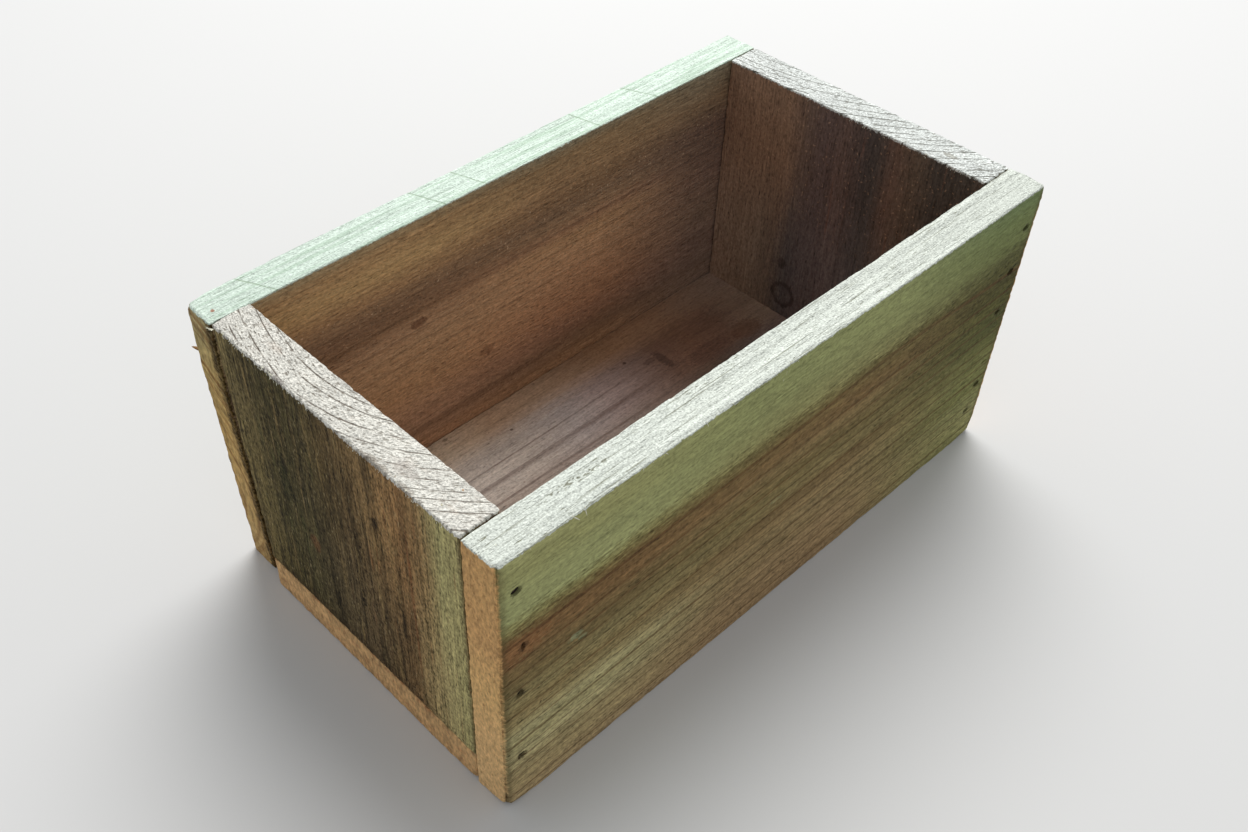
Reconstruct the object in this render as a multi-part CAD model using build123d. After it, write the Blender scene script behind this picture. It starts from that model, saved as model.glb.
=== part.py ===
from build123d import *
import os

# A small open-topped planter box, nailed together from five lengths of one softwood board.
# Millimetres. +X runs along the box, +Y from its front to its back and +Z up. The origin is
# on the ground under the middle of the box.

# The stock that all five boards are sawn from.
STOCK_WIDTH = 150.0
STOCK_THICKNESS = 18.0
ARRIS_RADIUS = 0.8

# How the boards are cut.
BOX_LENGTH = 321.0
END_SETBACK = 0.3  # the end boards stand this far inside the ends of the long boards
LEFT_END_PROUD = 0.8  # the left end board was cut this much too long, so it stands proud
SKEW_DEPTH = 3.5  # the left end of the back board is out of square, by this much at its foot
SKEW_HEIGHT = 115.0  # above this height that end is square

# The nails: round, with small flat heads punched below the surface.
NAIL_LENGTH = 50.0
SHANK_RADIUS = 1.4
HEAD_RADIUS = 2.1
HEAD_THICKNESS = 1.2
HEAD_DEPTH = 1.2  # from the face of the board down to the top of the head
TIP_LENGTH = 4.0
TIP_RADIUS = 0.2

# Each nail through a long board: its distance from the board's end, and its height.
FRONT_LEFT_NAILS = [(8.3, 132.5), (10.8, 100.0), (8.6, 73.0), (7.8, 55.5), (8.7, 31.5)]
FRONT_RIGHT_NAILS = [(6.5, 130.5), (8.8, 107.0), (9.6, 83.5), (6.9, 51.0), (7.8, 37.0), (10.8, 20.5)]
BACK_LEFT_NAILS = [(9.0, 131.0), (8.2, 104.0), (10.0, 77.0), (8.8, 50.0), (9.5, 27.0)]
BACK_RIGHT_NAILS = [(8.0, 133.0), (9.6, 106.0), (8.4, 79.0), (10.0, 52.0), (8.6, 26.0)]
# Each nail up through the base: its place along Y, under the middle of an end board.
BASE_NAILS = [-30.0, 0.0, 30.0]

BOX_WIDTH = STOCK_WIDTH + 2 * STOCK_THICKNESS
HALF_LENGTH = BOX_LENGTH / 2
HALF_WIDTH = BOX_WIDTH / 2
END_BOARD_HEIGHT = STOCK_WIDTH - STOCK_THICKNESS
END_BOARD_X = HALF_LENGTH - END_SETBACK - STOCK_THICKNESS / 2


def eased(board):
    """The board with every arris rounded over a little."""
    return fillet(board.edges(), ARRIS_RADIUS)


def long_board(outline, side):
    """A board on edge at the front (side -1) or the back (side 1), from its outline in X and Z."""
    middle = side * (HALF_WIDTH - STOCK_THICKNESS / 2)
    face = make_face(Polyline(outline, close=True))
    slab = extrude(Plane.XZ * face, STOCK_THICKNESS / 2, both=True)
    return eased(Pos(0, middle, 0) * slab)


def front_board_blank():
    left, right, top = -HALF_LENGTH, HALF_LENGTH, STOCK_WIDTH
    return long_board([(left, 0), (right, 0), (right, top), (left, top)], -1)


def back_board_blank():
    left, right, top = -HALF_LENGTH, HALF_LENGTH, STOCK_WIDTH
    skewed_end = [(left, top), (left, SKEW_HEIGHT), (left + SKEW_DEPTH, 0)]
    return long_board([(right, 0), (right, top), *skewed_end], 1)


def end_board_blank(side, proud):
    """An end board, grain upright, standing on the base between the long boards."""
    height = END_BOARD_HEIGHT + proud
    place = Pos(side * END_BOARD_X, 0, STOCK_THICKNESS + height / 2)
    return eased(place * Box(STOCK_THICKNESS, STOCK_WIDTH, height))


def base_board_blank():
    place = Pos(0, 0, STOCK_THICKNESS / 2)
    return eased(place * Box(BOX_LENGTH, STOCK_WIDTH, STOCK_THICKNESS))


def nail():
    """One nail driven along +Z from a face at Z = 0: its head is below the face."""
    head_end = HEAD_DEPTH + HEAD_THICKNESS
    tip_end = HEAD_DEPTH + NAIL_LENGTH
    tip_start = tip_end - TIP_LENGTH
    half_section = Polyline(
        (0, HEAD_DEPTH),
        (HEAD_RADIUS, HEAD_DEPTH),
        (HEAD_RADIUS, head_end),
        (SHANK_RADIUS, head_end),
        (SHANK_RADIUS, tip_start),
        (TIP_RADIUS, tip_end),
        (0, tip_end),
        close=True,
    )
    return revolve(Plane.XZ * make_face(half_section), Axis.Z)


def punched_hole():
    """The open hole above a nail's head, from just outside the face down to the head."""
    outside = 1.0
    depth = HEAD_DEPTH + outside
    return Pos(0, 0, HEAD_DEPTH - depth / 2) * Cylinder(HEAD_RADIUS, depth)


def side_nail_places(end, side, nails):
    """Where the nails through a long board start: end is -1 left or 1 right, side -1 front or 1 back."""
    into_box = Rotation(90 * side, 0, 0)
    return [
        Pos(end * (HALF_LENGTH - inset), side * HALF_WIDTH, height) * into_box
        for inset, height in nails
    ]


def base_nail_places(end):
    return [Pos(end * END_BOARD_X, along, 0) for along in BASE_NAILS]


NAIL_PLACES = {
    "front_left_nails": side_nail_places(-1, -1, FRONT_LEFT_NAILS),
    "front_right_nails": side_nail_places(1, -1, FRONT_RIGHT_NAILS),
    "back_left_nails": side_nail_places(-1, 1, BACK_LEFT_NAILS),
    "back_right_nails": side_nail_places(1, 1, BACK_RIGHT_NAILS),
    "base_left_nails": base_nail_places(-1),
    "base_right_nails": base_nail_places(1),
}

# Each board, with the groups of nails that pass into it.
BOARDS = {
    "front_board": (front_board_blank(), ["front_left_nails", "front_right_nails"]),
    "back_board": (back_board_blank(), ["back_left_nails", "back_right_nails"]),
    "left_end_board": (
        end_board_blank(-1, LEFT_END_PROUD),
        ["front_left_nails", "back_left_nails", "base_left_nails"],
    ),
    "right_end_board": (
        end_board_blank(1, 0.0),
        ["front_right_nails", "back_right_nails", "base_right_nails"],
    ),
    "base_board": (base_board_blank(), ["base_left_nails", "base_right_nails"]),
}


def nailed(blank, groups):
    """The board with a hole for every nail of these groups."""
    cutter = punched_hole() + nail()
    holes = [place * cutter for group in groups for place in NAIL_PLACES[group]]
    return blank - holes


def main():
    os.makedirs("parts", exist_ok=True)
    for name, (blank, groups) in BOARDS.items():
        export_step(nailed(blank, groups), f"parts/{name}.step")
    for name, places in NAIL_PLACES.items():
        nails = Compound(children=[place * nail() for place in places])
        export_step(nails, f"parts/{name}.step")


main()
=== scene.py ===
import math

import bpy
import numpy as np
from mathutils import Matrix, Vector


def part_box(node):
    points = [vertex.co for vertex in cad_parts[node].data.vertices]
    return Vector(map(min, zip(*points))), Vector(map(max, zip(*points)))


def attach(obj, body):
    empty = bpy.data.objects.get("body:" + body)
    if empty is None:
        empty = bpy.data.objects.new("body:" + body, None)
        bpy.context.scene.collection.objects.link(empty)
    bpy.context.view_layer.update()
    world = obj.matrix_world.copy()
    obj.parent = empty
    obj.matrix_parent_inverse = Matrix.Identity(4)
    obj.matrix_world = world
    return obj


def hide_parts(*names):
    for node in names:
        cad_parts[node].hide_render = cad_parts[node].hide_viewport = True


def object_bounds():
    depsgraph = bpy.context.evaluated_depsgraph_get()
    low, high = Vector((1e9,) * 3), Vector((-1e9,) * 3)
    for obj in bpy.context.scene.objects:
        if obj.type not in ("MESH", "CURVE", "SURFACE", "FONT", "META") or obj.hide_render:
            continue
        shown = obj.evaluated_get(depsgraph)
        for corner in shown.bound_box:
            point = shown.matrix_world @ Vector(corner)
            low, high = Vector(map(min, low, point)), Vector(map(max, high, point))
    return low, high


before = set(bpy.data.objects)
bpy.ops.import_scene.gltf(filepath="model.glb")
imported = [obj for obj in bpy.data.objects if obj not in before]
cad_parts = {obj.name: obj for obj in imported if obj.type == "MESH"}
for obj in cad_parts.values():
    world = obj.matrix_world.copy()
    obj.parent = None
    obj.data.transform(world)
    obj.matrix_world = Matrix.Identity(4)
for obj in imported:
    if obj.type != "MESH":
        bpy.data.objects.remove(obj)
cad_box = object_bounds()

# The looks of a small planter box, nailed together from five rough-sawn softwood boards. Shapes and
# patterns are worked out in millimetres in the frame of the CAD model (+X along the box, +Y to its
# back, +Z up) and written to Blender in metres. Each noise has a seed or a shift of its own.

MM = 0.001
X, Y, Z = 0, 1, 2

GRID_STEP = 1.25  # millimetres between the points of a board's mesh, away from its arrises
ARRIS_STEPS = [0.0, 0.25, 0.5, 0.8, 1.2, 1.7, 2.4, 3.2, 4.2]  # closer points beside each arris

# The CAD model's measures that shapes and patterns follow, in millimetres.
BOX_END = 160.5  # from the middle of the box to the end of a long board
BACK_FACE = 93.0  # the back board's outer face, along Y
THICKNESS = 18.0
SKEW = 3.5  # how far the back board's left end leans in at its foot
NAIL_REACH = 6.0  # nails of one joint are further apart than this
PAST_HEAD = 0.08  # how far an open hole is cut past the outer face of its nail's head

SOFT_GLOSS, DULL_GLOSS = 0.25, 0.1  # specular levels: the usual one, and that of the driest boards


# ---- repeatable noise


def lattice_random(cells, seed):
    """A repeatable number from -1 to 1 for every row of three whole numbers."""
    mixed = cells[:, 0] * 73856093 ^ cells[:, 1] * 19349663 ^ cells[:, 2] * 83492791
    mixed = (mixed ^ (seed + 1) * 2654435761).astype(np.uint32)
    for shift, factor in ((15, 0x2C1B3C6D), (12, 0x297A2D39), (15, 1)):
        mixed ^= mixed >> np.uint32(shift)
        mixed *= np.uint32(factor)
    return mixed / 2147483647.5 - 1


def smooth_noise(places, seed):
    """Noise from -1 to 1, with features one unit apart."""
    cells = np.floor(places).astype(np.int64)
    part = places - cells
    part = part * part * (3 - 2 * part)
    total = np.zeros(len(places))
    for corner in np.ndindex(2, 2, 2):
        weight = np.prod(np.where(corner, part, 1 - part), axis=1)
        total += weight * lattice_random(cells + corner, seed)
    return total


def noise(points, size, seed, octaves=2):
    """Noise from about -1 to 1 at points in millimetres. size is its features' size along X, Y and Z."""
    places = points / np.array(size, float)
    total, weight = np.zeros(len(points)), 1.0
    for octave in range(octaves):
        total += weight * smooth_noise(places * 2**octave + 7.3 * octave, seed + octave)
        weight /= 2
    return total


def rise(low, high, value):
    """0 below low, 1 above high and a smooth step between them."""
    part = np.clip((value - low) / (high - low), 0, 1)
    return part * part * (3 - 2 * part)


# ---- boards


class Board:
    """One sawn board: where it is, which way its grain runs, and how its growth rings lie in it.

    pith is the tree's centre as a place across and through the board. knots are (place, radius).
    short is the gap left at both of its ends or edges along Y, where it meets the long boards."""

    def __init__(self, node, grain, across, pith, ring_width, seed, knots=(), short=0.0):
        low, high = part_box(node)
        self.node = node
        self.low = np.array(low) / MM
        self.high = np.array(high) / MM
        self.low[Y] += short
        self.high[Y] -= short
        self.grain = grain
        self.across = across
        self.through = 3 - grain - across
        self.pith = pith
        self.ring_width = ring_width
        self.seed = seed
        self.knots = knots

    def sized(self, along, across, through=None):
        """Sizes along X, Y and Z from sizes along the grain, across it and through the board."""
        size = [0.0, 0.0, 0.0]
        size[self.grain] = along
        size[self.across] = across
        size[self.through] = across if through is None else through
        return size

    def radius(self, points):
        """How far each point is from the pith, in millimetres, bent as the tree grew."""
        sideways = points[:, self.across] - self.pith[0]
        deep = points[:, self.through] - self.pith[1]
        radius = np.hypot(sideways, deep)
        radius = radius + 2.2 * noise(points, self.sized(240, 60), self.seed)
        radius = radius + 0.25 * noise(points, self.sized(60, 12), self.seed + 5)
        for place, size in self.knots:
            away = (points - np.array(place, float)) / self.sized(size * 2.6, size * 1.5)
            radius = radius + size * 0.9 * np.exp(-(away**2).sum(axis=1))
        return radius

    def rings(self, points):
        """How many growth rings each point is from the pith. The rings' widths vary."""
        radius = self.radius(points)
        flat = 0 * radius
        uneven = noise(np.stack([radius, flat, flat], axis=1), (9, 1, 1), self.seed + 9)
        return radius / self.ring_width + 0.45 * uneven

    def arc(self, points):
        """How far each point is round the pith, in millimetres."""
        sideways = points[:, self.across] - self.pith[0]
        deep = np.abs(points[:, self.through] - self.pith[1])
        middle_depth = abs((self.low + self.high)[self.through] / 2 - self.pith[1])
        return np.arctan2(sideways, deep) * middle_depth

    def edge(self, points):
        """How far each point is from the nearest arris, in millimetres."""
        from_faces = np.minimum(points - self.low, self.high - points)
        return np.sort(from_faces, axis=1)[:, 1]

    def knot(self, points):
        """How far each point is from the nearest knot's middle, in that knot's radii."""
        nearest = np.full(len(points), 9.0)
        for place, size in self.knots:
            away = np.linalg.norm((points - np.array(place, float)) / size, axis=1)
            nearest = np.minimum(nearest, away)
        return nearest


def graded(low, high):
    """Places from low to high: close together beside both ends, and even between them."""
    near = [low + step for step in ARRIS_STEPS]
    far = [high - step for step in reversed(ARRIS_STEPS)]
    count = round((far[0] - near[-1]) / GRID_STEP)
    middle = np.linspace(near[-1], far[0], count + 1)[1:-1]
    return np.array([*near, *middle, *far])


def block_grid(low, high):
    """The points and quads of a closed box with a graded grid on its six faces."""
    lines = [graded(low[axis], high[axis]) for axis in (X, Y, Z)]
    skin = np.zeros([len(line) for line in lines], bool)
    for axis in (X, Y, Z):
        for end in (0, -1):
            np.moveaxis(skin, axis, 0)[end] = True
    number = np.full(skin.shape, -1)
    number[skin] = np.arange(skin.sum())
    points = np.stack([line[place] for line, place in zip(lines, np.nonzero(skin))], axis=1)
    quads = []
    for axis in (X, Y, Z):
        for end in (0, -1):
            sheet = np.take(number, end, axis=axis)
            corners = [sheet[:-1, :-1], sheet[1:, :-1], sheet[1:, 1:], sheet[:-1, 1:]]
            faces = np.stack(corners, axis=-1).reshape(-1, 4)
            outward = (end == -1) != (axis == Y)
            quads.append(faces if outward else faces[:, ::-1])
    return points, np.concatenate(quads)


def ease(points, low, high, radius):
    """Rounds a block's arrises over by a radius per point. Gives the points and their outward ways."""
    radius = radius[:, None]
    inner = np.clip(points, low + radius, high - radius)
    out = points - inner
    out = out / np.maximum(np.linalg.norm(out, axis=1, keepdims=True), 1e-9)
    return inner + out * radius, out


def wear_arris(points, axes, corner, inward, sizes):
    """Wears one long arris to a rounded bevel. corner is its place on the two axes, inward the signs
    of the ways from it into the wood, and sizes how far the bevel reaches along each, per point."""
    worn = points.copy()
    reach = np.stack([np.broadcast_to(size, len(points)) for size in sizes], axis=1)
    local = (points[:, axes] - np.array(corner)) * np.array(inward) / reach
    beside = (local < 1).all(axis=1)
    out = local - 1
    longest = np.maximum(np.abs(out).max(axis=1, keepdims=True), 1e-9)
    length = np.maximum(np.linalg.norm(out, axis=1, keepdims=True), 1e-9)
    rounded = (1 + out * longest / length) * reach
    moved = np.array(corner) + rounded * np.array(inward)
    worn[np.ix_(beside, axes)] = moved[beside]
    return worn


def wear_corners(points, *corners):
    """How much more round the arrises are near some corners, each given as (place, reach, amount)."""
    rounder = 0.0
    for place, reach, amount in corners:
        away = np.linalg.norm(points - np.array(place), axis=1) / reach
        rounder = rounder + amount * np.exp(-(away**2))
    return rounder


def mesh_object(name, points, faces):
    """A new object from points in millimetres."""
    mesh = bpy.data.meshes.new(name)
    mesh.from_pydata((np.asarray(points) * MM).tolist(), [], [list(face) for face in faces])
    mesh.update()
    piece = bpy.data.objects.new(name, mesh)
    bpy.context.scene.collection.objects.link(piece)
    return piece


def sawn_block(board, shape):
    """A rough-sawn board: its arrises uneven and torn, its faces furrowed along the rings.

    shape gives the points with the board's own faults in them, and how much rounder each one is."""
    points, quads = block_grid(board.low, board.high)
    seed = board.seed + 20
    uneven = noise(points, board.sized(7, 3), seed, 3)
    torn = rise(0.45, 1.0, noise(points, board.sized(14, 6), seed + 3))
    shaped, rounder = shape(points)
    radius = np.clip(0.45 + 0.2 * uneven + 0.6 * torn + rounder, 0.12, 6.0)
    eased, out = ease(points, board.low, board.high, radius)
    points = eased + shaped - points
    ring = board.rings(points) % 1
    ridge = rise(0.4, 0.85, ring) * (1 - rise(0.9, 1.0, ring))
    end_grain = np.abs(out[:, board.grain]) ** 4
    lift = 0.1 * (ridge - 0.4) * (1 - end_grain)
    lift = lift + 0.16 * noise(points, board.sized(90, 50), seed + 6)
    lift = lift + 0.06 * noise(points, board.sized(7, 1.6), seed + 7) * (1 - end_grain)
    lift = lift + 0.14 * noise(points, (2.2, 2.2, 2.2), seed + 8) * end_grain
    ripped = rise(0.0, 0.8, noise(points, board.sized(3.5, 1.8), seed + 9, 3))
    lift = lift - 0.35 * ripped * np.exp(-board.edge(points) / 0.8)
    points = points + out * lift[:, None]
    points[:, Z] = np.maximum(points[:, Z], 0)
    return points, quads


def oval_cutter(name, place, outward, along_grain, long_radius, short_radius, depth, seed):
    """A ragged oval plug, to be cut out of a board round one nail's head."""
    outward = np.array(outward, float)
    along = np.array(along_grain, float)
    side = np.cross(outward, along)
    sides = 28
    angles = np.arange(sides) * 2 * math.pi / sides
    circle = np.stack([np.cos(angles), np.sin(angles), 0 * angles], axis=1)
    ragged = 1 + 0.13 * noise(circle * 1.6 + np.array(place), (1, 1, 1), seed)
    rim = np.outer(np.cos(angles) * long_radius * ragged, along)
    rim = rim + np.outer(np.sin(angles) * short_radius * ragged, side)
    top = np.array(place) + rim * 1.12 + outward * 1.5
    bottom = np.array(place) + rim * 0.92 - outward * depth
    points = np.concatenate([top, bottom])
    faces = [list(range(sides)), list(range(2 * sides - 1, sides - 1, -1))]
    for i in range(sides):
        j = (i + 1) % sides
        faces.append([i, i + sides, j + sides, j])
    return mesh_object(name, points, faces)


def cut(piece, cutters):
    """The piece's mesh with every cutter taken out of it. The cutters are removed."""
    group = bpy.data.collections.new("cutters")
    for cutter in cutters:
        group.objects.link(cutter)
    tool = piece.modifiers.new("holes", "BOOLEAN")
    tool.operand_type = "COLLECTION"
    tool.collection = group
    tool.solver = "MANIFOLD"
    tool.operation = "DIFFERENCE"
    view = bpy.context.evaluated_depsgraph_get()
    mesh = bpy.data.meshes.new_from_object(piece.evaluated_get(view))
    piece.modifiers.clear()
    piece.data = mesh
    for cutter in cutters:
        bpy.data.objects.remove(cutter)
    bpy.data.collections.remove(group)


def points_of(mesh):
    """A mesh's points in millimetres."""
    flat = np.zeros(len(mesh.vertices) * 3)
    mesh.vertices.foreach_get("co", flat)
    return flat.reshape(-1, 3) / MM


def mark(mesh, name, values):
    """Stores a number for each point of the mesh, for its material to read."""
    attribute = mesh.attributes.new(name, "FLOAT", "POINT")
    attribute.data.foreach_set("value", np.asarray(values, np.float32))


def nail_heads(node):
    """Each nail of a CAD node: the middle of its head, the axis it lies along and its way in."""
    points = points_of(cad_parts[node].data)
    axis = Z if node.startswith("base") else Y
    others = [a for a in (X, Y, Z) if a != axis]
    heads = []
    while len(points):
        near = np.linalg.norm((points - points[0])[:, others], axis=1) < NAIL_REACH
        nail, points = points[near], points[~near]
        place = (nail.max(axis=0) + nail.min(axis=0)) / 2
        wide = np.linalg.norm(nail[:, others] - place[others], axis=1)
        head = nail[wide > wide.max() * 0.9]
        way = 1 if head[:, axis].mean() < place[axis] else -1
        place[axis] = head[:, axis].min() if way > 0 else head[:, axis].max()
        heads.append((place, axis, way))
    return heads


def finish_board(board, piece, open_nails):
    """Adds what the material reads, smooth shading, and what the piece stands for."""
    mesh = piece.data
    points = points_of(mesh)
    for measure in (board.rings, board.radius, board.arc, board.edge, board.knot):
        mark(mesh, measure.__name__, measure(points))
    nearest = np.full(len(points), 50.0)
    for place, axis, _ in open_nails:
        others = [a for a in (X, Y, Z) if a != axis]
        away = np.linalg.norm((points - place)[:, others], axis=1)
        nearest = np.minimum(nearest, away)
    mark(mesh, "nail", nearest)
    mesh.shade_smooth()
    mesh.set_sharp_from_angle(angle=math.radians(50))
    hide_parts(board.node)
    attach(piece, "root")


def sliver(root, way, outward, length, width, lift):
    """A torn fibre: the points and faces of a closed strip that tapers from its root to a point.

    It runs along way and bends outward by lift at its tip."""
    way = np.array(way, float) / np.linalg.norm(way)
    outward = np.array(outward, float)
    side = np.cross(way, outward)
    side = side / np.linalg.norm(side)
    stations = [-0.15, 0.2, 0.45, 0.7, 0.88]
    points, faces = [], []
    for part in stations:
        middle = np.array(root) + way * length * part + outward * lift * part * abs(part)
        half = 0.5 * width * (1 - max(part, 0)) ** 0.6
        corners = [side * half, outward * half * 0.6, -side * half, -outward * half * 0.6]
        points += [middle + corner for corner in corners]
    points.append(np.array(root) + way * length + outward * lift)
    for station in range(len(stations) - 1):
        for corner in range(4):
            a = 4 * station + corner
            b = 4 * station + (corner + 1) % 4
            faces.append([a, b, b + 4, a + 4])
    tip = len(points) - 1
    for corner in range(4):
        faces.append([tip - 4 + corner, tip - 4 + (corner + 1) % 4, tip])
    faces.append([3, 2, 1, 0])
    return points, faces


def fibres(name, material, strips):
    """One piece from many slivers, given as the arguments of sliver()."""
    points, faces = [], []
    for strip in strips:
        new_points, new_faces = sliver(*strip)
        faces += [[index + len(points) for index in face] for face in new_faces]
        points += new_points
    piece = mesh_object(name, points, faces)
    piece.data.materials.append(material)
    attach(piece, "root")
    return piece


# ---- material nodes


def srgb(red, green, blue):
    """A colour given as screen values from 0 to 255, for a node's colour input."""
    values = []
    for value in (red, green, blue):
        part = value / 255
        values.append(part / 12.92 if part <= 0.04045 else ((part + 0.055) / 1.055) ** 2.4)
    return (*values, 1.0)


class Field:
    """A number that varies over a surface: a socket of a material, which sums and products can use."""

    def __init__(self, paint, socket):
        self.paint = paint
        self.socket = socket

    def __add__(self, other):
        return self.paint.math("ADD", self, other)

    __radd__ = __add__

    def __sub__(self, other):
        return self.paint.math("SUBTRACT", self, other)

    def __rsub__(self, other):
        return self.paint.math("SUBTRACT", other, self)

    def __mul__(self, other):
        return self.paint.math("MULTIPLY", self, other)

    __rmul__ = __mul__

    def __truediv__(self, other):
        return self.paint.math("DIVIDE", self, other)


class Paint:
    """Builds one material from nodes. Places are in millimetres in the frame of the CAD model."""

    def __init__(self, name):
        self.material = bpy.data.materials.new(name)
        self.material.use_nodes = True
        self.tree = self.material.node_tree
        self.shader = self.tree.nodes["Principled BSDF"]
        coordinates = self.node("ShaderNodeTexCoord").outputs["Object"]
        self.place = self.scaled(coordinates, 1 / MM)
        split = self.node("ShaderNodeSeparateXYZ")
        self.plug(split.inputs[0], self.place)
        self.x, self.y, self.z = (Field(self, socket) for socket in split.outputs)

    def node(self, kind, **settings):
        made = self.tree.nodes.new(kind)
        for name, value in settings.items():
            setattr(made, name, value)
        return made

    def plug(self, socket, value):
        if isinstance(value, Field):
            value = value.socket
        if isinstance(value, bpy.types.NodeSocket):
            self.tree.links.new(value, socket)
        else:
            socket.default_value = value

    def math(self, operation, *values):
        made = self.node("ShaderNodeMath", operation=operation)
        for socket, value in zip(made.inputs, values):
            self.plug(socket, value)
        return Field(self, made.outputs[0])

    def size_of(self, field):
        return self.math("ABSOLUTE", field)

    def scaled(self, vector, factor):
        made = self.node("ShaderNodeVectorMath", operation="SCALE")
        self.plug(made.inputs[0], vector)
        self.plug(made.inputs["Scale"], factor)
        return made.outputs[0]

    def stored(self, name):
        """The number that mark() stored at each point."""
        return Field(self, self.node("ShaderNodeAttribute", attribute_name=name).outputs["Fac"])

    def noise_at(self, vector, detail):
        """Noise from about -1 to 1, with features one unit apart."""
        made = self.node("ShaderNodeTexNoise")
        self.plug(made.inputs["Vector"], vector)
        made.inputs["Scale"].default_value = 1.0
        made.inputs["Detail"].default_value = detail
        return (Field(self, made.outputs["Fac"]) - 0.5) * 3.2

    def noise(self, size, detail=2.0, shift=0.0):
        """Noise with features of this size in millimetres along X, Y and Z."""
        shrunk = self.node("ShaderNodeVectorMath", operation="MULTIPLY_ADD")
        self.plug(shrunk.inputs[0], self.place)
        shrunk.inputs[1].default_value = [1 / part for part in size]
        shrunk.inputs[2].default_value = (shift, shift * 0.7, shift * 1.3)
        return self.noise_at(shrunk.outputs[0], detail)

    def patches(self, low, high, size, detail=2.0, shift=0.0):
        """Ragged patches, of 0 where noise of this size is below low and 1 where it is above high."""
        return self.rise(low, high, self.noise(size, detail, shift))

    def ring_noise(self, across, along, shift=0.0):
        """Noise with features of this size across and along the growth rings of a cut end."""
        joined = self.node("ShaderNodeCombineXYZ")
        self.plug(joined.inputs[0], self.stored("radius") / across + shift)
        self.plug(joined.inputs[1], self.stored("arc") / along + shift)
        return self.noise_at(joined.outputs[0], 2.0)

    def rise(self, low, high, value):
        """0 below low, 1 above high and a smooth step between them. high may be below low."""
        made = self.node("ShaderNodeMapRange", interpolation_type="SMOOTHSTEP")
        self.plug(made.inputs["Value"], value)
        self.plug(made.inputs["From Min"], low)
        self.plug(made.inputs["From Max"], high)
        return Field(self, made.outputs["Result"])

    def mix(self, share, first, second):
        """The first colour where share is 0, and the second where it is 1."""
        made = self.node("ShaderNodeMix", data_type="RGBA")
        self.plug(made.inputs["Factor"], share)
        self.plug(made.inputs["A"], first)
        self.plug(made.inputs["B"], second)
        return made.outputs["Result"]

    def tinted(self, colour, share, *tint):
        """The colour, with this share of a screen colour mixed in."""
        return self.mix(share, colour, srgb(*tint))

    def bands(self, value, stops):
        """A colour that follows value through stops, each a value and a screen colour."""
        lowest, highest = stops[0][0], stops[-1][0]
        made = self.node("ShaderNodeValToRGB")
        self.plug(made.inputs[0], (value - lowest) / (highest - lowest))
        elements = made.color_ramp.elements
        while len(elements) < len(stops):
            elements.new(0.5)
        for element, (stop, *colour) in zip(elements, stops):
            element.position = (stop - lowest) / (highest - lowest)
            element.color = srgb(*colour)
        return made.outputs["Color"]

    def blot(self, first, second, middle, reach, ragged):
        """1 in the middle of an oval mark on the plane of two fields, falling to 0 at its ragged edge."""
        across = (first - middle[0]) / reach[0]
        up = (second - middle[1]) / reach[1]
        return self.rise(1.0, 0.3, across * across + up * up + ragged)

    def marked(self, colour, first, second, ragged, marks):
        """The colour with marks on it, each given as (middle, reach, screen colour, strength)."""
        for middle, reach, tint, strength in marks:
            spot = self.blot(first, second, middle, reach, ragged)
            colour = self.tinted(colour, spot * strength, *tint)
        return colour


    def finish(self, colour, height, roughness, gloss=SOFT_GLOSS):
        """Joins the colour, the roughness and the bump, in millimetres, to the shader."""
        bump = self.node("ShaderNodeBump")
        bump.inputs["Strength"].default_value = 1.0
        bump.inputs["Distance"].default_value = 1.0
        self.plug(bump.inputs["Height"], height * MM)
        self.plug(self.shader.inputs["Normal"], bump.outputs[0])
        self.plug(self.shader.inputs["Base Color"], colour)
        self.plug(self.shader.inputs["Roughness"], roughness)
        self.shader.inputs["Specular IOR Level"].default_value = gloss
        return self.material


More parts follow.
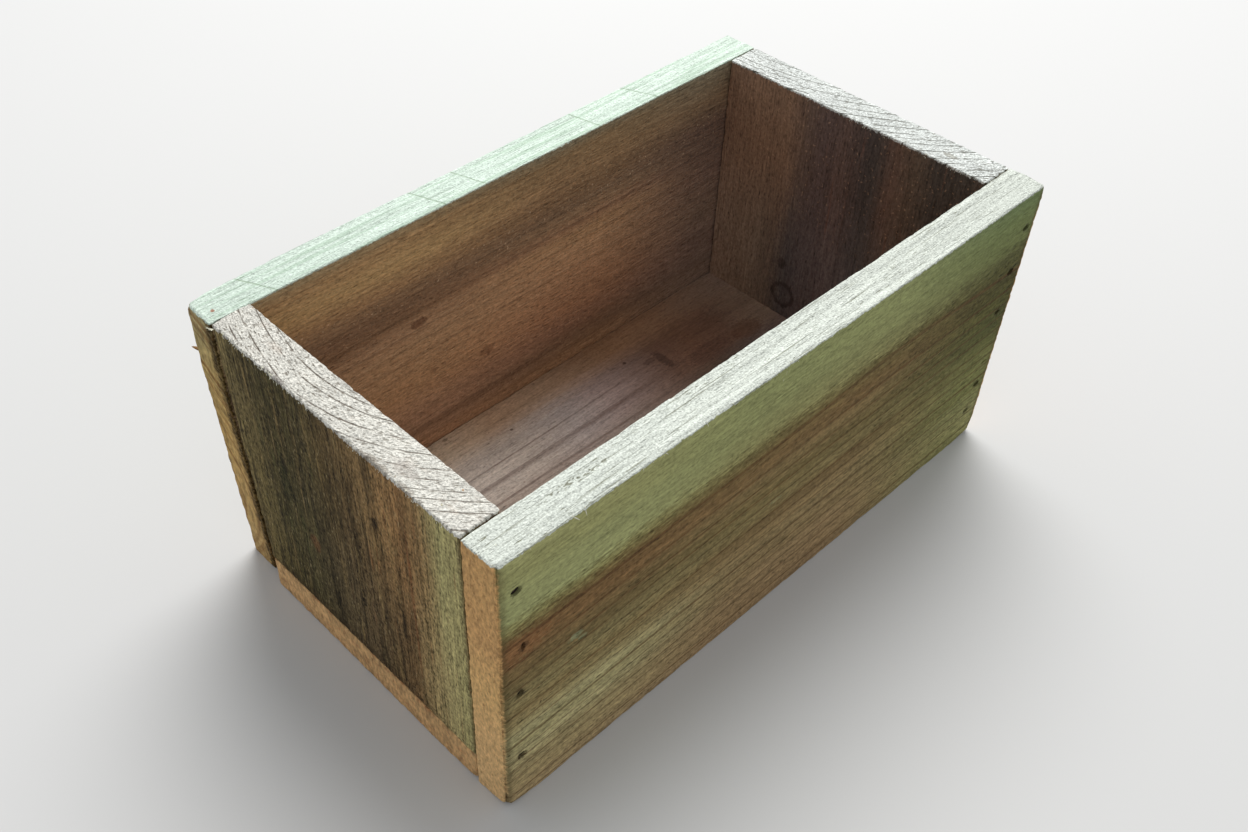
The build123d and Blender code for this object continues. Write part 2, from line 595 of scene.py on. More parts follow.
class Wood(Paint):
    """One board's material, with the grain that all the boards share.

    bright multiplies a colour, and height is for the bump, in millimetres. lines and fibre say how
    strongly the rings and the fibres show."""

    def __init__(self, name, board, lines, fibre):
        super().__init__(name)
        self.board = board
        self.seed = board.seed
        ring = self.stored("rings")
        part = self.math("FRACT", ring)
        each = self.node("ShaderNodeTexWhiteNoise", noise_dimensions="1D")
        self.plug(each.inputs["W"], self.math("FLOOR", ring))
        self.weight = 0.3 + 0.7 * Field(self, each.outputs["Value"])
        self.late = self.rise(0.6, 0.9, part) * self.rise(1.0, 0.95, part) * self.weight
        self.thin = self.rise(0.78, 0.9, part) * self.rise(1.0, 0.96, part)
        self.streaks = self.grained(110, 1.3, 3.0, board.seed)
        self.fibre = self.grained(14, 1.1, 3.0, board.seed + 2)
        self.short = self.grained(4.5, 1.0, 2.0, board.seed + 4)
        self.fuzz = self.noise((1.4, 1.4, 1.4), 2.0, board.seed + 6)
        self.grit = self.grained(1.8, 0.7, 2.0, board.seed + 7)
        blotch = self.grained(60, 14, 2.0, board.seed + 8)
        saw = self.grained(1.7, 60, 1.0, board.seed + 10)
        self.fleck = self.flecks(0.4, 0.8, 3.6, 0.8, 1.0, board.seed + 12)
        woolly = 0.3 * self.streaks + 0.4 * self.fibre + 0.5 * self.short + 0.4 * self.fuzz
        woolly = woolly + 0.5 * self.grit - 0.6 * self.fleck + 0.08
        bright = 1.0 + fibre * woolly + 0.08 * blotch
        self.bright = self.math("MAXIMUM", bright * (1.0 - lines * self.late), 0.2)
        torn = 0.1 * self.fibre + 0.12 * self.short + 0.1 * self.fuzz + 0.06 * self.grit
        self.height = 0.06 * self.late + torn - 0.12 * self.fleck + 0.06 * saw

    def grained(self, along, across, detail, shift):
        """Noise with features of these sizes along the board's grain and across it."""
        return self.noise(self.board.sized(along, across), detail, shift)

    def flecks(self, low, high, along, across, detail, shift):
        """Patches with these sizes along the board's grain and across it."""
        return self.rise(low, high, self.grained(along, across, detail, shift))

    def topped(self, colour, height, top, top_height, start, end, place, *finish):
        """Finishes the material with a top of its own colour and height, from start to end of place."""
        at_top = self.rise(start, end, place)
        return self.finish(self.mix(at_top, colour, top), height + top_height * at_top, *finish)

    def both_faces(self, axis, low_face, high_face):
        """One colour on the face at the board's low side along an axis, and another on the other face."""
        place, margin = (self.x, self.y, self.z)[axis], 6
        middle = self.rise(self.board.low[axis] + margin, self.board.high[axis] - margin, place)
        return self.mix(middle, low_face, high_face)


def rubbed(wood, colour):
    """The colour, paler along the board's arrises, where the wood is rubbed."""
    worn = wood.rise(2.2, 0.2, wood.stored("edge") + 0.9 * wood.fuzz + 0.7 * wood.fibre)
    return wood.tinted(colour, worn * 0.45, 198, 180, 144)


def sawn_top(wood, tint, fleck_tint, strength):
    """The pale, furry surface that the saw left along a long board's upper edge: colour and height."""
    fluff = wood.noise((0.9, 0.75, 0.9), 2.0, wood.seed + 30)
    dash = wood.flecks(0.1, 0.7, 3.0, 0.6, 2.0, wood.seed + 31)
    rows = wood.flecks(-0.1, 0.6, 90, 1.8, 2.0, wood.seed + 32)
    deep = wood.flecks(0.2, 0.7, 4.0, 0.65, 2.0, wood.seed + 33) * rows
    line = wood.flecks(0.25, 0.7, 26, 0.6, 2.0, wood.seed + 35)
    stripe = wood.grained(120, 2.2, 1.0, wood.seed + 34)
    bright = 1.06 + strength * (0.3 * fluff + 0.14 * stripe - 0.2 * dash)
    colour = wood.scaled(srgb(*tint)[:3], bright)
    colour = wood.tinted(colour, deep * (0.6 * strength), *fleck_tint)
    colour = wood.tinted(colour, line * (0.42 * strength), *fleck_tint)
    return colour, 0.14 * fluff - 0.1 * dash - 0.16 * deep - 0.14 * line


def cross_cut_top(wood, tint, dash_tint, line_tint, strength):
    """The pale cross-cut top of an upright board, pitted along its growth rings: colour and height."""
    dash = wood.rise(0.05, 0.6, wood.ring_noise(0.75, 2.6, 1.7))
    speck = wood.rise(0.0, 0.7, wood.ring_noise(0.6, 0.9, 5.1))
    fluff = wood.noise((0.9, 0.9, 0.9), 2.0, wood.seed + 40)
    patch = wood.noise((9, 14, 9), 2.0, wood.seed + 41)
    broken = wood.rise(-0.55, 0.15, wood.ring_noise(3, 16, 9.3))
    ring = wood.math("FRACT", wood.stored("rings"))
    line = wood.rise(0.84, 0.92, ring) * wood.rise(1.0, 0.95, ring) * broken
    bright = 1.12 + strength * (0.4 * fluff + 0.14 * patch - 0.3 * speck)
    colour = wood.scaled(srgb(*tint)[:3], bright)
    colour = wood.tinted(colour, dash * (0.6 * strength), *dash_tint)
    colour = wood.tinted(colour, line * (0.7 * strength), *line_tint)
    return colour, 0.26 * fluff - 0.22 * dash - 0.16 * speck - 0.3 * line


def cut_end(wood, colour, size, strength):
    """The fuzzy sawn end of a board, whose rings hardly show: the colour, made so, and its height.

    size is how coarse the fuzz is, and strength how much it shows."""
    wool = wood.noise((1.2 * size, size, 2.2 * size), 3.0, wood.seed + 50)
    tuft = wood.noise((3 * size, 3 * size, 4 * size), 2.0, wood.seed + 52)
    pit = wood.patches(0.2, 0.8, (1.2 * size, 0.9 * size, 1.5 * size), 2.0, wood.seed + 53)
    bright = 1.05 + strength * (0.4 * wool + 0.16 * tuft) - 0.06 * wood.late
    colour = wood.scaled(colour, wood.math("MAXIMUM", bright, 0.6))
    colour = wood.tinted(colour, pit * 0.4, 138, 84, 44)
    return colour, 0.3 * wool - 0.2 * pit


def sunk_nails(wood, colour, ragged):
    """The colour with a dark stain round every nail whose hole is open."""
    near = wood.stored("nail") + 0.8 * ragged
    return wood.tinted(colour, wood.rise(3.0, 1.7, near) * 0.5, 48, 38, 30)


def front_face(wood):
    """Green along the top, then brown, with streaks that fade to grey-green towards the right, where
    painted shade darkens them.
    """
    x, z = wood.x, wood.z
    sway = wood.grained(140, 14, 2.0, 3.1)
    streak = wood.grained(55, 1.6, 3.0, 4.7)
    level = z + 1.4 * sway + 1.2 * streak + 3.0 * wood.short + 1.2 * wood.fibre
    left = wood.bands(level, [
        (0, 176, 152, 113), (14, 169, 150, 108), (26, 162, 147, 106), (34, 176, 166, 122),
        (41, 160, 150, 107), (47, 175, 166, 122), (54, 158, 144, 101), (62, 136, 118, 79),
        (69, 144, 131, 90), (80, 118, 102, 67), (90, 120, 99, 65), (98, 127, 98, 64),
        (104, 122, 96, 62), (109, 118, 100, 63), (114, 140, 134, 86), (119, 158, 160, 110),
        (130, 160, 162, 111), (142, 158, 157, 105), (150, 162, 161, 110)])
    middle = wood.bands(level, [
        (0, 155, 129, 95), (12, 152, 127, 92), (26, 150, 127, 92), (34, 138, 118, 83),
        (46, 141, 122, 86), (54, 142, 121, 84), (62, 120, 100, 67), (70, 132, 118, 79),
        (79, 120, 105, 68), (90, 129, 110, 74), (99, 123, 99, 65), (106, 122, 103, 66),
        (112, 122, 111, 71), (118, 144, 141, 94), (130, 147, 149, 100), (142, 150, 154, 103),
        (150, 151, 155, 104)])
    # The right end's bands are darker: partly the wood's grey-green, partly painted shade.
    right = wood.bands(level, [
        (0, 140, 138, 90), (16, 140, 137, 90), (30, 128, 128, 82), (38, 113, 114, 67),
        (46, 118, 119, 72), (58, 112, 112, 67), (66, 102, 102, 60), (80, 83, 84, 47),
        (90, 89, 87, 48), (102, 81, 77, 44), (112, 86, 84, 49), (119, 94, 94, 58),
        (126, 113, 119, 74), (140, 115, 126, 80), (150, 115, 130, 88)])
    face = wood.mix(wood.rise(-115, -20, x), left, middle)
    face = wood.mix(wood.rise(30, 152, x), face, right)
    red = wood.thin * wood.rise(126, 106, z) * (0.55 + 0.4 * wood.fibre)
    face = wood.tinted(face, red, 92, 62, 38)
    # A faint dark stroke a little below the top, near x = -22.
    lean = wood.size_of((z - 134.0) - 0.6 * (x + 22.0))
    fine_line = wood.rise(0.5, 0.1, lean) * wood.rise(8.0, 5.0, wood.size_of(x + 22.0))
    face = wood.tinted(face, fine_line * 0.3, 96, 90, 58)
    pale, dark, rust = (150, 158, 120), (54, 44, 30), (142, 94, 60)
    return wood.marked(face, x, z, 0.8 * wood.fuzz, [
        ((-160.0, 100.0), (27.0, 9.0), rust, 0.4), ((-154.2, 56.2), (0.9, 0.6), dark, 0.6),
        ((-151.6, 55.6), (0.8, 0.6), dark, 0.5),
        ((-124.0, 82.4), (4.2, 2.4), pale, 0.55), ((-120.6, 79.2), (2.6, 1.3), pale, 0.5),
        ((-119.0, 80.5), (6.0, 4.5), dark, 0.2), ((-142.0, 57.7), (1.0, 0.8), dark, 0.8),
        ((-158.5, 37.7), (0.9, 0.7), dark, 0.6), ((-7.5, 70.0), (4.5, 1.2), pale, 0.3),
        ((-2.5, 19.6), (1.4, 0.9), dark, 0.6), ((6.0, 19.0), (1.4, 0.9), dark, 0.6),
        ((20.0, 58.0), (2.0, 0.9), dark, 0.4), ((4.0, 35.0), (5.0, 0.8), dark, 0.45)])


def front_material(board):
    wood = Wood("front_board_wood", board, 0.12, 0.7)
    x, y, z = wood.x, wood.y, wood.z
    calm = 1.0 - 0.4 * wood.rise(114, 124, z)
    face = wood.scaled(front_face(wood), 1.0 + (wood.bright - 1.0) * calm)
    inner = wood.bands(z + 2 * wood.streaks, [
        (0, 176, 138, 104), (30, 164, 124, 94), (62, 196, 152, 112), (96, 188, 145, 108),
        (118, 150, 118, 88), (134, 188, 152, 108), (150, 170, 142, 104)])
    inner = wood.scaled(inner, wood.bright)
    inner = rubbed(wood, inner)
    face = wood.both_faces(Y, face, inner)
    face = sunk_nails(wood, face, wood.fuzz)
    fray = wood.noise((1.6, 1.6, 1.6), 3.0, 6.3)
    from_end = BOX_END - wood.size_of(x)
    shaded = wood.rise(5.0, 1.0, from_end + 1.2 * fray) * wood.rise(-82, -90, y)
    face = wood.tinted(face, shaded * (0.5 + 0.35 * wood.short), 82, 70, 42)
    end = wood.bands(z + 7 * fray, [
        (0, 222, 184, 132), (45, 218, 178, 124), (75, 214, 174, 117), (105, 201, 158, 106),
        (150, 198, 156, 103)])
    end, end_height = cut_end(wood, end, 1.3, 1.0 + 0.2 * wood.rise(50, 75, z))
    at_end = wood.rise(1.5, 0.0, from_end + 0.4 * fray + 0.5 * wood.short)
    colour = wood.mix(at_end, face, end)
    height = wood.height + end_height * at_end
    top, top_height = sawn_top(wood, (202, 207, 199), (116, 116, 92), 1.5)
    top = wood.scaled(top, 1.0 - 0.09 * wood.rise(40, 130, x))
    torn = wood.patches(0.0, 0.5, (1.9, 1.0, 1.0), 1.0, 8.3)
    torn = torn * wood.blot(x, y, (-114.0, -81.0), (20.0, 2.2), 0.2 * fray)
    top = wood.tinted(top, torn * 0.75, 98, 96, 72)
    return wood.topped(colour, height, top, top_height, 149.0, 149.5, z + 0.7 * fray, 0.82, DULL_GLOSS)


def back_inner(wood):
    """The back board's face inside the box: orange-brown bands, darker to the right."""
    x, z = wood.x, wood.z
    sway = wood.grained(140, 14, 2.0, 13.1)
    streak = wood.grained(60, 1.8, 3.0, 14.7)
    level = z + 1.6 * sway + 1.2 * streak + 0.8 * wood.short
    left = wood.bands(level, [
        (0, 188, 154, 126), (22, 188, 154, 126), (32, 166, 137, 114), (42, 182, 150, 124),
        (60, 194, 160, 124), (84, 192, 162, 128), (95, 182, 152, 122), (101, 148, 121, 95),
        (109, 146, 120, 96), (116, 158, 132, 104), (122, 180, 149, 112), (132, 203, 174, 126),
        (143, 188, 157, 115), (150, 166, 152, 120)])
    middle = wood.bands(level, [
        (0, 180, 148, 118), (22, 176, 146, 117), (31, 146, 121, 99), (42, 168, 134, 111),
        (56, 191, 151, 120), (84, 206, 170, 134), (96, 200, 165, 127), (101, 178, 144, 115),
        (108, 168, 141, 112), (114, 154, 130, 105), (120, 152, 126, 98), (131, 174, 145, 110),
        (143, 158, 134, 101), (150, 150, 141, 117)])
    right = wood.bands(level, [
        (0, 162, 144, 134), (24, 162, 146, 135), (42, 154, 136, 127), (66, 158, 140, 126),
        (90, 146, 125, 114), (104, 134, 115, 103), (118, 130, 109, 97), (132, 152, 130, 104),
        (150, 147, 140, 118)])
    inner = wood.mix(wood.rise(-70, 30, x), left, middle)
    inner = wood.mix(wood.rise(45, 140, x), inner, right)
    dark, rust = (70, 48, 34), (92, 58, 40)
    inner = wood.marked(inner, x, z, 0.3 * wood.fuzz, [
        ((-23.0, 56.0), (5.5, 3.6), rust, 0.35), ((-22.0, 54.0), (1.6, 2.2), dark, 0.4),
        ((-26.0, 57.0), (1.4, 1.0), dark, 0.35), ((-56.0, 63.0), (3.4, 2.0), dark, 0.3),
        ((-62.0, 95.0), (6.0, 3.0), rust, 0.6), ((-40.0, 31.0), (70.0, 3.0), dark, 0.25),
        ((-152.0, 80.0), (9.0, 90.0), (84, 72, 50), 0.8)])
    speck = wood.patches(0.75, 1.0, (1.3, 1.3, 1.3), 0.0, 19.3)
    dusty = 0.3 + 0.5 * wood.rise(104, 112, z) * wood.rise(128, 120, z)
    return wood.tinted(inner, speck * dusty, 214, 190, 160)


def back_material(board):
    wood = Wood("back_board_wood", board, 0.2, 0.5)
    x, y, z = wood.x, wood.y, wood.z
    outer = wood.bands(z + 2 * wood.streaks + 1.5 * wood.short, [
        (0, 150, 128, 94), (22, 150, 130, 96), (38, 130, 112, 80), (52, 146, 132, 96),
        (66, 122, 106, 76), (80, 136, 122, 86), (92, 150, 149, 104), (116, 156, 158, 110),
        (138, 150, 151, 104), (150, 158, 157, 110)])
    outer = rubbed(wood, sunk_nails(wood, outer, wood.fuzz))
    inner = back_inner(wood)
    face = wood.both_faces(Y, inner, outer)
    face = wood.scaled(face, wood.bright)
    fray = wood.noise((1.8, 1.8, 1.8), 3.0, 16.3)
    end = wood.bands(z + 6 * fray + 0.6 * (y - 84), [
        (0, 180, 150, 100), (60, 186, 154, 98), (95, 184, 154, 96), (118, 184, 158, 102),
        (135, 168, 150, 102), (150, 166, 154, 112)])
    curved = wood.rise(-0.2, 0.8, wood.ring_noise(3.2, 60, 2.9))
    end = wood.tinted(end, curved * 0.8, 120, 84, 44)
    end, end_height = cut_end(wood, end, 2.2, 1.4)
    # Dark along the inner side of the left end: the end is torn there, and painted shade of the gap
    # beside the left end board darkens it too.
    ragged = 1.5 * fray + 2.2 * wood.noise((6, 6, 9), 2.0, 18.1)
    torn = wood.rise(80.6, 76.2, y + ragged) * wood.rise(10, -10, x)
    end = wood.tinted(end, torn * (0.85 + 0.4 * wood.fuzz), 56, 42, 16)
    from_left = x + BOX_END - wood.rise(118, 0, z) * SKEW
    at_end = wood.rise(1.7, 0.8, wood.math("MINIMUM", BOX_END - x, from_left) + 0.9 * fray)
    colour = wood.mix(at_end, face, end)
    top, top_height = sawn_top(wood, (196, 210, 199), (132, 150, 130), 1.1)
    wide = wood.flecks(0.0, 0.4, 90, 2.2, 2.0, 15.3)
    top = wood.tinted(top, wide * 0.42, 152, 180, 154)
    top = wood.scaled(top, 1.0 + 0.08 * wood.rise(-120, -30, x))
    top = wood.marked(top, x, y, 0.2 * wood.fuzz, [((-155.0, 81.0), (1.1, 1.0), (150, 84, 52), 0.8)])
    fine_line = saw_scratches(wood, [(-138, -129), (-49, -42), (-25, -19), (47, 51), (82, 90)])
    top = wood.tinted(top, fine_line * (0.6 + 0.3 * wood.fuzz), 138, 158, 132)
    top_height = top_height - 0.1 * fine_line
    height = wood.height + end_height * at_end
    return wood.topped(colour, height, top, top_height, 149.0, 149.5, z + 0.7 * fray, 0.82, DULL_GLOSS)


def saw_scratches(wood, places):
    """Fine scratches across the back board's top: each runs from its outer arris to its inner one."""
    fine_line = 0.0
    for outer, inner in places:
        line = outer + (BACK_FACE - wood.y) * ((inner - outer) / THICKNESS)
        fine_line = wood.rise(0.7, 0.2, wood.size_of(wood.x - line)) + fine_line
    return fine_line


def left_outer(wood):
    """The left end board's outer face: dark, upright streaks, green at its front edge."""
    y, z = wood.y, wood.z
    sway = wood.grained(120, 12, 2.0, 23.1)
    streak = wood.grained(45, 1.5, 3.0, 24.7)
    level = y + 1.5 * sway + 1.6 * streak + 2.2 * wood.short
    high = wood.bands(level, [
        (-75, 158, 148, 102), (-62, 164, 156, 108), (-52, 140, 114, 77), (-42, 124, 94, 61),
        (-32, 142, 111, 73), (-20, 124, 100, 66), (-8, 106, 86, 57), (8, 83, 69, 43),
        (20, 86, 76, 49), (30, 68, 61, 37), (44, 76, 68, 42), (58, 98, 86, 55), (75, 124, 110, 73)])
    low = wood.bands(level, [
        (-75, 162, 154, 106), (-62, 166, 153, 107), (-50, 155, 134, 93), (-40, 121, 95, 64),
        (-28, 101, 82, 56), (-14, 101, 84, 60), (0, 86, 73, 52), (12, 80, 69, 48), (30, 77, 70, 45),
        (46, 78, 70, 43), (60, 106, 93, 58), (75, 110, 96, 60)])
    outer = wood.mix(wood.rise(125, 45, z), high, low)
    layers = [  # how a layer's noise is drawn, where it fades in along Y, its strength and its colour
        ((0.35, 0.9, 38, 2.6, 3.0, 27.7), (15, -18), 0.45, (132, 78, 46)),
        ((-0.1, 0.6, 55, 3.2, 2.0, 25.5), (-56, -30), 0.6, (36, 30, 19)),
        ((0.1, 0.7, 8, 4, 3.0, 21.7), (-56, -36), 0.4, (108, 94, 64)),
        ((0.15, 0.8, 40, 2.4, 2.0, 26.1), (-50, -30), 0.5, (138, 116, 76)),
        ((0.25, 0.8, 9, 1.3, 3.0, 28.1), (-44, -20), 0.65, (32, 27, 18)),
        ((0.2, 0.9, 22, 5, 3.0, 28.9), (0, 30), 0.35, (76, 82, 46))]
    for flecks, fade, strength, tint in layers:
        outer = wood.tinted(outer, wood.flecks(*flecks) * wood.rise(*fade, y) * strength, *tint)
    pale = wood.flecks(0.45, 0.9, 3.0, 0.8, 1.0, 29.7)
    outer = wood.tinted(outer, pale * 0.4, 172, 156, 118)
    black, green, rust = (26, 22, 14), (38, 42, 22), (118, 64, 40)
    return wood.marked(outer, y, z, 0.5 * wood.fuzz, [
        ((-24.0, 115.0), (3.4, 5.0), black, 0.6), ((-35.0, 64.0), (1.2, 12.0), black, 0.7),
        ((-8.0, 55.0), (1.7, 3.4), black, 0.8), ((19.0, 124.0), (1.6, 5.0), black, 0.6),
        ((-31.0, 34.0), (1.0, 14.0), black, 0.5), ((-33.0, 76.0), (2.0, 3.0), black, 0.5),
        ((38.0, 100.0), (3.0, 7.0), black, 0.55), ((35.0, 84.0), (1.6, 9.0), black, 0.5),
        ((39.0, 87.0), (5.0, 15.0), green, 0.45), ((-43.0, 84.0), (1.0, 60.0), rust, 0.35),
        ((24.0, 64.0), (4.0, 6.0), rust, 0.3), ((0.0, 20.0), (78.0, 5.0), (58, 44, 28), 0.4)])


def left_end_material(board):
    wood = Wood("left_end_wood", board, 0.16, 1.25)
    x, y, z = wood.x, wood.y, wood.z
    outer = left_outer(wood)
    inner = wood.bands(y + 2 * wood.streaks, [
        (-75, 172, 140, 106), (-40, 150, 118, 92), (-5, 128, 100, 80), (30, 146, 114, 88),
        (75, 160, 126, 98)])
    face = wood.both_faces(X, outer, inner)
    calm = 0.8 + 0.2 * wood.rise(-64, -44, y)
    face = wood.scaled(face, 1.0 + (wood.bright - 1.0) * calm)
    # Darker along the front edge and side: painted shade of the gap beside the front board.
    face = wood.tinted(face, wood.rise(-71.5, -74.0, y + 0.8 * wood.fuzz) * 0.5, 70, 48, 32)
    # Near-black along the back edge: the torn wood there, and painted shade of the gap beside the back
    # board.
    face = wood.tinted(face, wood.rise(71, 73.5, y + 1.4 * wood.fuzz) * 0.7, 42, 32, 18)
    top, top_height = cross_cut_top(
        wood, (213, 211, 203), (112, 101, 86), (86, 70, 52), 1.0 + 0.2 * wood.rise(-40, 30, y))
    top = wood.scaled(top, 1.02 - 0.1 * wood.rise(-60, 60, y))
    rosy = wood.patches(0.2, 0.9, (6, 12, 6), 2.0, 30.3)
    top = wood.tinted(top, rosy * 0.25, 190, 166, 148)
    top = wood.marked(top, x, y, 0.7 * wood.fuzz, [
        ((-160.0, -29.0), (2.4, 9.0), (112, 98, 82), 0.55),
        ((-160.0, -46.0), (2.0, 5.0), (112, 98, 82), 0.5),
        ((-160.0, 32.0), (2.0, 9.0), (112, 100, 96), 0.5),
        ((-154.0, -38.0), (3.4, 8.0), (168, 158, 150), 0.4),
        ((-143.0, 8.0), (1.6, 6.0), (120, 116, 110), 0.45)])
    fray = wood.noise((1.3, 1.3, 1.6), 3.0, 26.3)
    bite = wood.patches(0.3, 0.9, (4, 4.5, 4), 2.0, 27.1)
    edge = z + 1.5 * fray - 0.9 * bite
    return wood.topped(face, wood.height * 1.6, top, top_height, 149.1, 149.8, edge, 0.86, DULL_GLOSS)


def right_inner(wood):
    """The right end board's face inside the box: nearly black bands, lighter towards the back."""
    y, z = wood.y, wood.z
    sway = wood.grained(120, 12, 2.0, 33.1)
    streak = wood.grained(50, 1.8, 3.0, 34.7)
    level = y + 1.5 * sway + 1.8 * streak + 1.0 * wood.short
    high = wood.bands(level, [
        (-75, 92, 79, 70), (-66, 76, 68, 61), (-50, 80, 71, 64), (-38, 104, 87, 73),
        (-28, 112, 88, 75), (-19, 82, 73, 68), (-12, 80, 70, 66), (0, 108, 88, 80),
        (12, 102, 85, 80), (24, 114, 94, 82), (34, 139, 111, 90), (52, 143, 114, 92),
        (75, 145, 116, 95)])
    low = wood.bands(level, [
        (-75, 110, 104, 96), (-40, 104, 98, 94), (-18, 102, 97, 96), (0, 116, 105, 104),
        (14, 106, 98, 98), (24, 98, 94, 94), (34, 122, 108, 97), (44, 138, 123, 108),
        (56, 151, 132, 115), (75, 162, 140, 122)])
    inner = wood.mix(wood.rise(120, 50, z), high, low)
    red = wood.flecks(0.3, 0.9, 60, 3.0, 3.0, 37.7) * wood.rise(25, 0, y)
    inner = wood.tinted(inner, red * 0.4, 126, 76, 52)
    knot = wood.stored("knot") + 0.12 * wood.fuzz
    ring_mark = wood.rise(0.6, 0.8, knot) * wood.rise(1.1, 0.9, knot)
    inner = wood.tinted(inner, ring_mark * 0.6, 50, 38, 34)
    inner = wood.marked(inner, y, z, 0.3 * wood.fuzz, [((25.8, 51.2), (3.6, 4.4), (48, 38, 36), 0.5)])
    speck = wood.patches(0.7, 1.0, (1.3, 1.3, 1.3), 0.0, 38.3)
    return wood.tinted(inner, speck * (0.35 * wood.rise(60, 100, z)), 200, 160, 128)


def right_end_material(board):
    wood = Wood("right_end_wood", board, 0.18, 0.6)
    x, y, z = wood.x, wood.y, wood.z
    inner = right_inner(wood)
    sway = wood.grained(120, 12, 2.0, 35.1)
    outer = wood.bands(y + 3 * sway + 2.4 * wood.streaks + 1.5 * wood.short, [
        (-75, 148, 138, 100), (-54, 140, 124, 90), (-36, 118, 102, 74), (-18, 104, 90, 66),
        (4, 128, 112, 80), (24, 120, 98, 70), (46, 136, 124, 88), (62, 152, 146, 104),
        (75, 150, 142, 102)])
    streak = wood.flecks(0.1, 0.8, 50, 2.2, 3.0, 39.1)
    outer = wood.tinted(outer, streak * 0.5, 74, 60, 40)
    outer = wood.tinted(outer, wood.thin * 0.4, 84, 62, 40)
    outer = rubbed(wood, outer)
    face = wood.both_faces(X, inner, outer)
    face = wood.scaled(face, wood.bright)
    top, top_height = cross_cut_top(
        wood, (206, 210, 207), (118, 116, 106), (86, 84, 74), 1.3 + 0.4 * wood.rise(-56, -70, y))
    top = wood.marked(top, x, y, 0.5 * wood.fuzz, [
        ((149.0, -51.0), (2.2, 4.4), (110, 102, 86), 0.55),
        ((149.0, -51.0), (1.1, 2.6), (196, 198, 190), 0.6)])
    fray = wood.noise((1.3, 1.3, 1.6), 3.0, 36.3)
    edge = z + 1.0 * fray
    return wood.topped(face, wood.height * 1.2, top, top_height, 148.8, 149.4, edge, 0.86)


def base_top(wood):
    """The face inside the box: pale grey-brown at the left, dark brown to the right."""
    x, y = wood.x, wood.y
    sway = wood.grained(120, 12, 2.0, 43.1)
    streak = wood.grained(60, 1.8, 3.0, 44.7)
    level = x + 8 * sway
    back = wood.bands(level, [
        (-150, 196, 178, 156), (-60, 198, 178, 154), (-30, 180, 150, 122), (0, 170, 142, 116),
        (25, 150, 121, 96), (50, 140, 106, 78), (90, 148, 114, 88), (130, 154, 130, 112),
        (150, 160, 136, 122)])
    middle = wood.bands(level, [
        (-150, 194, 184, 176), (-60, 193, 182, 172), (-30, 174, 162, 152), (0, 157, 146, 141),
        (25, 142, 124, 118), (48, 118, 97, 88), (68, 100, 74, 60), (90, 106, 76, 58),
        (112, 112, 84, 68), (130, 142, 118, 100), (150, 158, 136, 118)])
    front = wood.bands(level, [
        (-150, 165, 150, 139), (-60, 158, 145, 134), (0, 140, 125, 116), (25, 124, 110, 101),
        (50, 110, 92, 82), (72, 91, 72, 62), (92, 81, 64, 52), (112, 90, 75, 68),
        (150, 138, 118, 110)])
    across = y + 2.0 * streak
    face = wood.mix(wood.rise(30, 16, across), middle, front)
    face = wood.mix(wood.rise(48, 66, across), face, back)
    lines = wood.thin * wood.rise(80, 20, x) * wood.rise(47, 42, y)
    face = wood.tinted(face, lines * (0.45 + 0.3 * wood.fibre), 84, 62, 54)
    dark, brown = (58, 40, 32), (96, 64, 46)
    face = wood.marked(face, x, y, 0.35 * wood.fuzz, [
        ((68.5, 40.0), (3.2, 9.0), dark, 0.6), ((62.0, 44.0), (6.0, 2.0), dark, 0.5),
        ((51.0, 52.0), (1.3, 1.1), dark, 0.8), ((-26.0, 55.0), (1.1, 0.9), dark, 0.7),
        ((-55.0, 72.0), (2.0, 1.2), dark, 0.5), ((120.0, 27.0), (13.0, 8.0), brown, 0.5),
        ((92.0, 28.0), (18.0, 9.0), (72, 48, 40), 0.4),
        ((-101.0, 70.0), (2.6, 0.8), (216, 196, 166), 0.7)])
    speck = wood.patches(0.9, 1.15, (1.2, 1.2, 1.2), 0.0, 47.3)
    return wood.tinted(face, speck * 0.4, 96, 74, 60)


def base_material(board):
    wood = Wood("base_board_wood", board, 0.08, 0.4)
    x, y, z = wood.x, wood.y, wood.z
    under = wood.bands(y + 3 * wood.streaks, [
        (-75, 166, 140, 106), (-30, 150, 124, 92), (20, 170, 146, 110), (75, 156, 130, 98)])
    under = rubbed(wood, under)
    face = wood.mix(wood.rise(12, 6, z), base_top(wood), under)
    face = wood.scaled(face, wood.bright)
    fray = wood.noise((1.6, 1.6, 1.6), 3.0, 46.3)
    end = wood.bands(z + 3 * fray, [(0, 188, 150, 104), (8, 206, 166, 116), (18, 196, 158, 110)])
    end = wood.tinted(end, wood.patches(0.1, 0.8, (5, 7, 3), 3.0, 48.2) * 0.45, 168, 104, 66)
    end = wood.tinted(end, wood.patches(0.3, 0.9, (5, 4, 5), 3.0, 49.2) * 0.35, 120, 84, 52)
    end, end_height = cut_end(wood, end, 1.7, 1.4)
    at_end = wood.rise(1.4, 0.6, BOX_END - wood.size_of(x) + 0.9 * fray)
    cut_corner = wood.rise(-149, -151, x) * wood.rise(62, 66, y)
    at_end = wood.math("MAXIMUM", at_end, cut_corner)
    colour = wood.mix(at_end, face, end)
    return wood.finish(colour, wood.height + end_height * at_end, 0.84)


def fibre_material(name, tint):
    """The loose torn fibres along the boards' arrises."""
    paint = Paint(name)
    fleck = paint.noise((1.2, 1.2, 1.2), 2.0, 60.0)
    colour = paint.scaled(srgb(*tint)[:3], 1.0 + 0.14 * fleck)
    return paint.finish(colour, 0.05 * fleck, 0.9)


